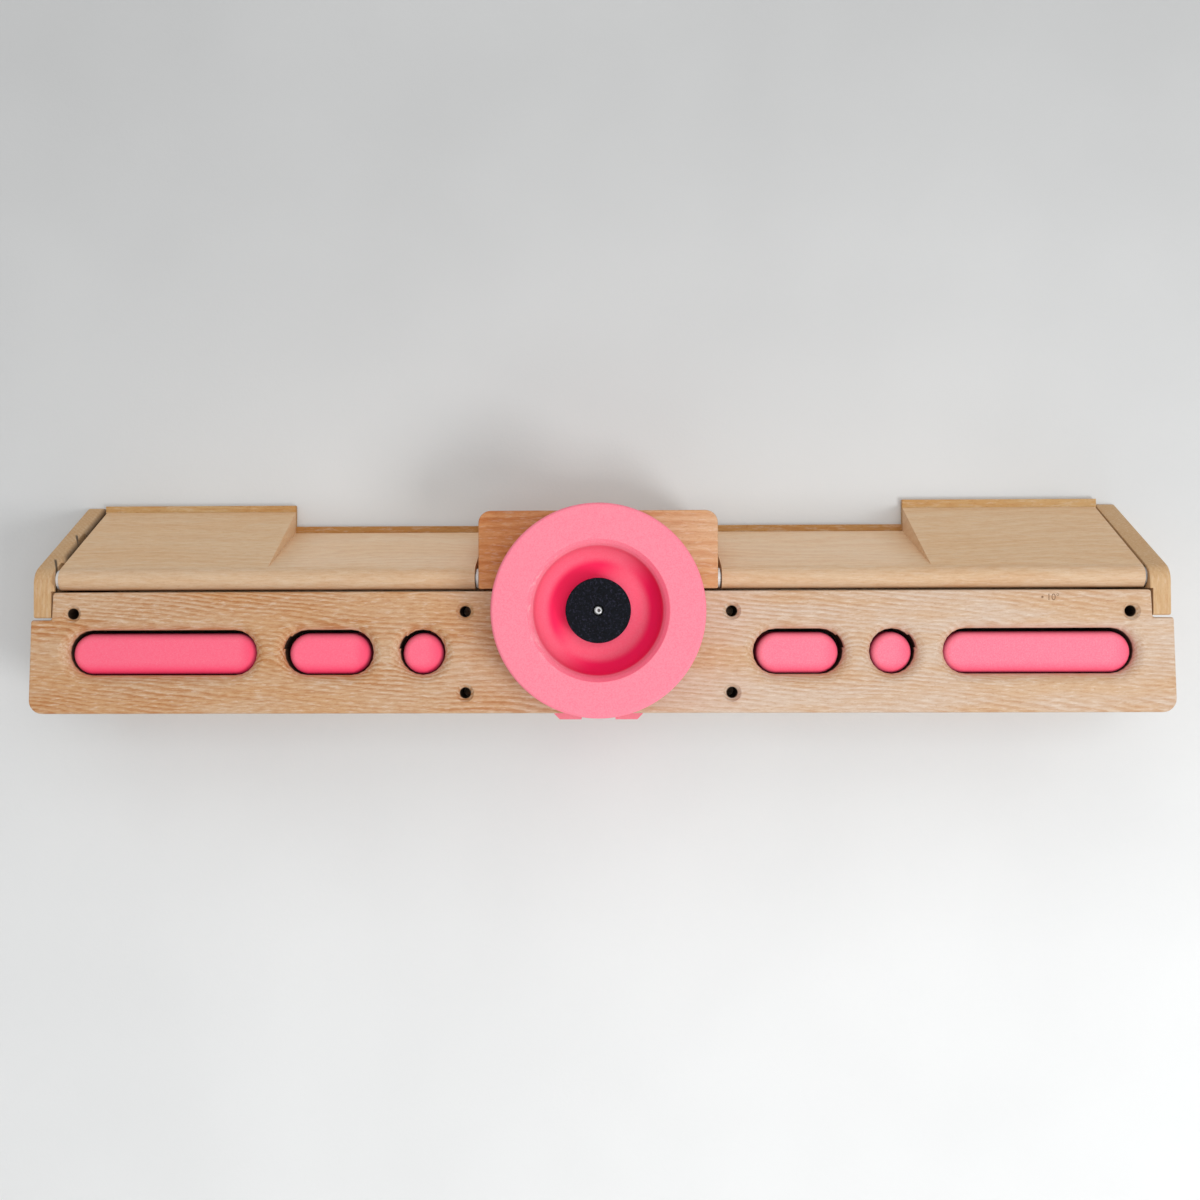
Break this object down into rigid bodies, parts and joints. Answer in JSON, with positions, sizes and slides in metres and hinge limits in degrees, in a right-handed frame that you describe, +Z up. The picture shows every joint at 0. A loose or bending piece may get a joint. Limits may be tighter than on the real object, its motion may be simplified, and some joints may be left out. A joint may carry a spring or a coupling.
{
  "type": "hangboard",
  "caption": "Wall-mounted finger training board: pockets whose depth is set by a central handwheel, between two tilting sloping holds.",
  "frame": {"origin": "on the wall plane behind the middle of the board, at the height of the finger pockets' centre line and of the handwheel's X", "axes": "+X along the board to the right as seen from the front, +Y into the wall, +Z up"},
  "size_m": [0.6882, 0.112, 0.1405],
  "materials": {
    "front_plate": "oiled beech",
    "back_board": "oiled beech",
    "centre_block": "oiled, darker wood",
    "block_dowel_left": "oiled beech",
    "block_dowel_right": "oiled beech",
    "spacer_sleeve_upper_left": "plain",
    "spacer_sleeve_upper_right": "plain",
    "spacer_sleeve_lower_left": "plain",
    "spacer_sleeve_lower_right": "plain",
    "end_spacer_left": "oiled beech",
    "end_spacer_right": "oiled beech",
    "cheek_left": "oiled beech",
    "cheek_right": "oiled beech",
    "pivot_inner_left": "nylon",
    "pivot_inner_right": "nylon",
    "pivot_outer_left": "nylon",
    "pivot_outer_right": "nylon",
    "rest_pad_left": "felt",
    "rest_pad_right": "felt",
    "cheek_screw_front_left": "plain",
    "cheek_screw_front_right": "plain",
    "cheek_screw_rear_left": "plain",
    "cheek_screw_rear_right": "plain",
    "board_screw_left": "plain",
    "board_screw_right": "plain",
    "guide_rod_left": "plain",
    "guide_rod_right": "plain",
    "front_bush": "sintered bronze",
    "rear_bush": "sintered bronze",
    "handwheel": "printed plastic",
    "wheel_cap": "speckled",
    "cap_screw": "plain",
    "lead_screw": "plain",
    "rear_lock_nut": "plain",
    "carriage_bar": "plain",
    "guide_bush_left": "sintered bronze",
    "guide_bush_right": "sintered bronze",
    "nut_block": "printed plastic",
    "lead_nut": "turned",
    "nut_screw_left": "plain",
    "nut_screw_right": "plain",
    "plug_long_left": "printed plastic",
    "plug_medium_left": "printed plastic",
    "plug_mono_left": "printed plastic",
    "plug_medium_right": "printed plastic",
    "plug_mono_right": "printed plastic",
    "plug_long_right": "printed plastic",
    "plug_screw_long_left": "plain",
    "plug_screw_medium_left": "plain",
    "plug_screw_mono_left": "plain",
    "plug_screw_medium_right": "plain",
    "plug_screw_mono_right": "plain",
    "plug_screw_long_right": "plain",
    "sloper_left": "oiled beech",
    "sloper_strip_left": "oiled, darker wood",
    "tilt_pin_left": "plain",
    "sloper_right": "oiled beech",
    "sloper_strip_right": "oiled, darker wood",
    "tilt_pin_right": "plain"
  },
  "bodies": {
    "frame": {"front_plate": "front_plate", "back_board": "back_board", "centre_block": "centre_block", "block_dowel_left": "block_dowel_left", "block_dowel_right": "block_dowel_right", "spacer_sleeve_upper_left": "spacer_sleeve_upper_left", "spacer_sleeve_upper_right": "spacer_sleeve_upper_right", "spacer_sleeve_lower_left": "spacer_sleeve_lower_left", "spacer_sleeve_lower_right": "spacer_sleeve_lower_right", "end_spacer_left": "end_spacer_left", "end_spacer_right": "end_spacer_right", "cheek_left": "cheek_left", "cheek_right": "cheek_right", "pivot_inner_left": "pivot_inner_left", "pivot_inner_right": "pivot_inner_right", "pivot_outer_left": "pivot_outer_left", "pivot_outer_right": "pivot_outer_right", "rest_pad_left": "rest_pad_left", "rest_pad_right": "rest_pad_right", "cheek_screw_front_left": "cheek_screw_front_left", "cheek_screw_front_right": "cheek_screw_front_right", "cheek_screw_rear_left": "cheek_screw_rear_left", "cheek_screw_rear_right": "cheek_screw_rear_right", "board_screw_left": "board_screw_left", "board_screw_right": "board_screw_right", "guide_rod_left": "guide_rod_left", "guide_rod_right": "guide_rod_right", "front_bush": "front_bush", "rear_bush": "rear_bush"},
    "dial": {"handwheel": "handwheel", "wheel_cap": "wheel_cap", "cap_screw": "cap_screw", "lead_screw": "lead_screw", "rear_lock_nut": "rear_lock_nut"},
    "carriage": {"carriage_bar": "carriage_bar", "guide_bush_left": "guide_bush_left", "guide_bush_right": "guide_bush_right", "nut_block": "nut_block", "lead_nut": "lead_nut", "nut_screw_left": "nut_screw_left", "nut_screw_right": "nut_screw_right", "plug_long_left": "plug_long_left", "plug_medium_left": "plug_medium_left", "plug_mono_left": "plug_mono_left", "plug_medium_right": "plug_medium_right", "plug_mono_right": "plug_mono_right", "plug_long_right": "plug_long_right", "plug_screw_long_left": "plug_screw_long_left", "plug_screw_medium_left": "plug_screw_medium_left", "plug_screw_mono_left": "plug_screw_mono_left", "plug_screw_medium_right": "plug_screw_medium_right", "plug_screw_mono_right": "plug_screw_mono_right", "plug_screw_long_right": "plug_screw_long_right"},
    "sloper_left": {"sloper_left": "sloper_left", "sloper_strip_left": "sloper_strip_left", "tilt_pin_left": "tilt_pin_left"},
    "sloper_right": {"sloper_right": "sloper_right", "sloper_strip_right": "sloper_strip_right", "tilt_pin_right": "tilt_pin_right"}
  },
  "joints": [
    {"name": "dial_turn", "type": "hinge", "parent": "frame", "child": "dial", "pos_m": [0, -0.08, 0.0248], "axis": [0, -1, 0], "range_deg": [-157, 719]},
    {"name": "depth_slide", "type": "slide", "parent": "frame", "child": "carriage", "axis": [0, 1, 0], "range_m": [-0.0035, 0.016]},
    {"name": "tilt_left", "type": "hinge", "parent": "frame", "child": "sloper_left", "pos_m": [0, -0.069, 0.0446], "axis": [1, 0, 0], "range_deg": [0, 12]},
    {"name": "tilt_right", "type": "hinge", "parent": "frame", "child": "sloper_right", "pos_m": [0, -0.069, 0.0446], "axis": [1, 0, 0], "range_deg": [0, 12]}
  ],
  "couplings": [
    {"joint": "depth_slide", "follows": "dial_turn", "m_per_rad": 0.0012732}
  ]
}
